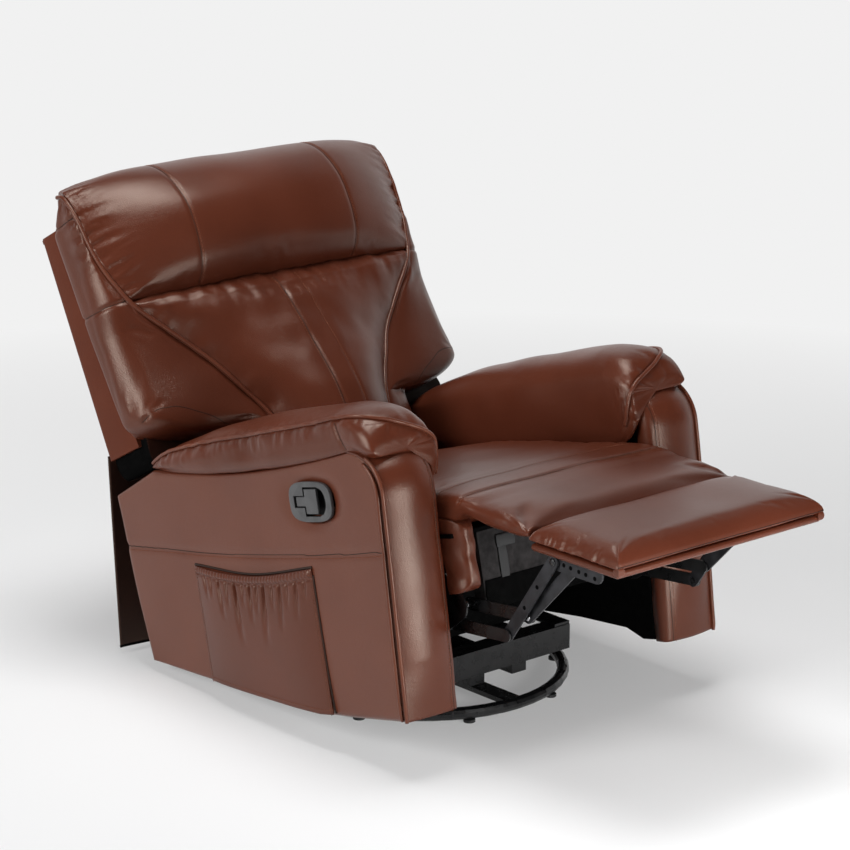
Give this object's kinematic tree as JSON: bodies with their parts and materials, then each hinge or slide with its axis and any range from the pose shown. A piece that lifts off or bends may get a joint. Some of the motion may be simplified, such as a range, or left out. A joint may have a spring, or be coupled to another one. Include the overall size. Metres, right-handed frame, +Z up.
{
  "type": "manual recliner",
  "caption": "Upholstered one-seat manual recliner on a swivelling, rocking ring base, with a fold-out footrest, reclining back, side pocket and pull handle.",
  "frame": {"origin": "centre of the bounding box, on the floor under the chair", "axes": "+Z up, the sitter looks along -Y, the sitter's left hand is on +X; rest pose is the pictured one, footrest out and body rocked back"},
  "size_m": [0.848, 1.5888, 0.9932],
  "materials": {
    "leather": "semi-gloss grained brown cover",
    "dark_leather": "darker brown cover on the footrest board and the rear flap",
    "black_steel": "gloss black paint",
    "grey_steel": "dull grey plated links",
    "spring_steel": "oiled spring wire",
    "frame_wood": "bare plywood, covered in use",
    "black_lining": "black non-woven lining",
    "grey_cloth": "dark grey cloth over the seat front",
    "grey_plastic": "satin dark grey",
    "glide_plastic": "matt black"
  },
  "bodies": {
    "base": {"base_ring": "black_steel", "glide_1": "glide_plastic", "glide_2": "glide_plastic", "glide_3": "glide_plastic", "glide_4": "glide_plastic", "glide_5": "glide_plastic", "glide_6": "glide_plastic", "glide_7": "glide_plastic", "glide_8": "glide_plastic", "swivel_race": "black_steel"},
    "turntable": {"swivel_plate": "black_steel", "front_channel": "black_steel", "rear_channel": "black_steel", "rocker_track_left": "black_steel", "rocker_track_right": "black_steel", "rocker_spring_left": "spring_steel", "rocker_spring_right": "spring_steel"},
    "chair": {"rocker_cam_left": "black_steel", "rocker_cam_right": "black_steel", "side_plate_left": "black_steel", "side_plate_right": "black_steel", "drive_tube": "grey_steel", "seat_front_rail": "grey_cloth", "seat_deck": "frame_wood", "seat_cushion": "leather", "seat_bolster_left": "leather", "seat_bolster_right": "leather", "arm_panel_left": "leather", "arm_panel_right": "leather", "arm_core_left": "black_lining", "arm_core_right": "black_lining", "arm_facing_left": "leather", "arm_facing_right": "leather", "arm_pad_left": "leather", "arm_pad_right": "leather", "side_pocket": "leather", "handle_bezel": "grey_plastic"},
    "lever": {"release_lever": "grey_plastic"},
    "lower_link_l": {"lower_link_left": "grey_steel"},
    "lower_link_r": {"lower_link_right": "grey_steel"},
    "upper_link_l": {"upper_link_left": "grey_steel"},
    "upper_link_r": {"upper_link_right": "grey_steel"},
    "lower_brace_l": {"lower_brace_left": "grey_steel"},
    "lower_brace_r": {"lower_brace_right": "grey_steel"},
    "upper_brace_l": {"upper_brace_left": "grey_steel"},
    "upper_brace_r": {"upper_brace_right": "grey_steel"},
    "footrest": {"footrest_board": "dark_leather", "footrest_pad": "leather", "footrest_bracket_left": "grey_steel", "footrest_bracket_right": "grey_steel"},
    "chaise": {"chaise_pad": "leather"},
    "back": {"back_shell": "leather", "back_frame": "frame_wood", "back_bracket_left": "black_steel", "back_bracket_right": "black_steel", "lumbar_cushion": "leather", "back_wing_left": "leather", "back_wing_right": "leather", "headrest": "leather"},
    "flap": {"rear_flap": "dark_leather"}
  },
  "joints": [
    {"name": "swivel", "type": "hinge", "parent": "base", "child": "turntable", "pos_m": [0, 0.03765, 0.05], "axis": [0, 0, 1], "continuous": true},
    {"name": "rock", "type": "hinge", "parent": "turntable", "child": "chair", "pos_m": [0, 0.03765, 0.42], "axis": [1, 0, 0], "range_deg": [0, 15], "deforming": ["rocker_spring_left", "rocker_spring_right"]},
    {"name": "back_recline", "type": "hinge", "parent": "chair", "child": "back", "pos_m": [0, 0.43766, 0.33001], "axis": [-1, 0, 0], "range_deg": [0, 35]},
    {"name": "flap_hang", "type": "hinge", "parent": "back", "child": "flap", "pos_m": [0, 0.56971, 0.40993], "axis": [1, 0, 0], "range_deg": [0, 35], "deforming": ["rear_flap"]},
    {"name": "release", "type": "hinge", "parent": "chair", "child": "lever", "pos_m": [-0.4133, -0.07219, 0.47769], "axis": [0, -0.225, -0.9744], "range_deg": [0, 35], "stiffness_Nm_per_rad": 0.6},
    {"name": "lower_link_left_turn", "type": "hinge", "parent": "chair", "child": "lower_link_l", "pos_m": [0.25, -0.3064, 0.26338], "axis": [1, 0, 0], "range_deg": [0, 42]},
    {"name": "upper_link_left_turn", "type": "hinge", "parent": "lower_link_l", "child": "upper_link_l", "pos_m": [0.244, -0.48558, 0.28055], "axis": [1, 0, 0], "range_deg": [-75, 0]},
    {"name": "footrest_fold", "type": "hinge", "parent": "upper_link_l", "child": "footrest", "pos_m": [0.241, -0.60541, 0.453], "axis": [1, 0, 0], "range_deg": [0, 109.9]},
    {"name": "lower_link_right_turn", "type": "hinge", "parent": "chair", "child": "lower_link_r", "pos_m": [-0.25, -0.3064, 0.26338], "axis": [1, 0, 0], "range_deg": [0, 42]},
    {"name": "upper_link_right_turn", "type": "hinge", "parent": "lower_link_r", "child": "upper_link_r", "pos_m": [-0.244, -0.48558, 0.28055], "axis": [1, 0, 0], "range_deg": [-75, 0]},
    {"name": "lower_brace_left_turn", "type": "hinge", "parent": "chair", "child": "lower_brace_l", "pos_m": [0.226, -0.35811, 0.30611], "axis": [1, 0, 0], "range_deg": [0, 75]},
    {"name": "upper_brace_left_turn", "type": "hinge", "parent": "lower_brace_l", "child": "upper_brace_l", "pos_m": [0.232, -0.5272, 0.32368], "axis": [1, 0, 0], "range_deg": [-103, 0]},
    {"name": "lower_brace_right_turn", "type": "hinge", "parent": "chair", "child": "lower_brace_r", "pos_m": [-0.226, -0.35811, 0.30611], "axis": [1, 0, 0], "range_deg": [0, 75]},
    {"name": "upper_brace_right_turn", "type": "hinge", "parent": "lower_brace_r", "child": "upper_brace_r", "pos_m": [-0.232, -0.5272, 0.32368], "axis": [1, 0, 0], "range_deg": [-103, 0]},
    {"name": "chaise_fold", "type": "hinge", "parent": "chair", "child": "chaise", "pos_m": [0, -0.3884, 0.49989], "axis": [1, 0, 0], "range_deg": [0, 65], "deforming": ["chaise_pad"]}
  ],
  "couplings": [
    {"joint": "flap_hang", "follows": "back_recline", "ratio": 1},
    {"joint": "lower_link_left_turn", "follows": "footrest_fold", "ratio": 0.37957},
    {"joint": "upper_link_left_turn", "follows": "footrest_fold", "ratio": -0.67891},
    {"joint": "lower_link_right_turn", "follows": "footrest_fold", "ratio": 0.37957},
    {"joint": "upper_link_right_turn", "follows": "footrest_fold", "ratio": -0.67891},
    {"joint": "lower_brace_left_turn", "follows": "footrest_fold", "ratio": 0.67815},
    {"joint": "upper_brace_left_turn", "follows": "footrest_fold", "ratio": -0.93565},
    {"joint": "lower_brace_right_turn", "follows": "footrest_fold", "ratio": 0.67815},
    {"joint": "upper_brace_right_turn", "follows": "footrest_fold", "ratio": -0.93565},
    {"joint": "chaise_fold", "follows": "footrest_fold", "ratio": 0.589}
  ]
}
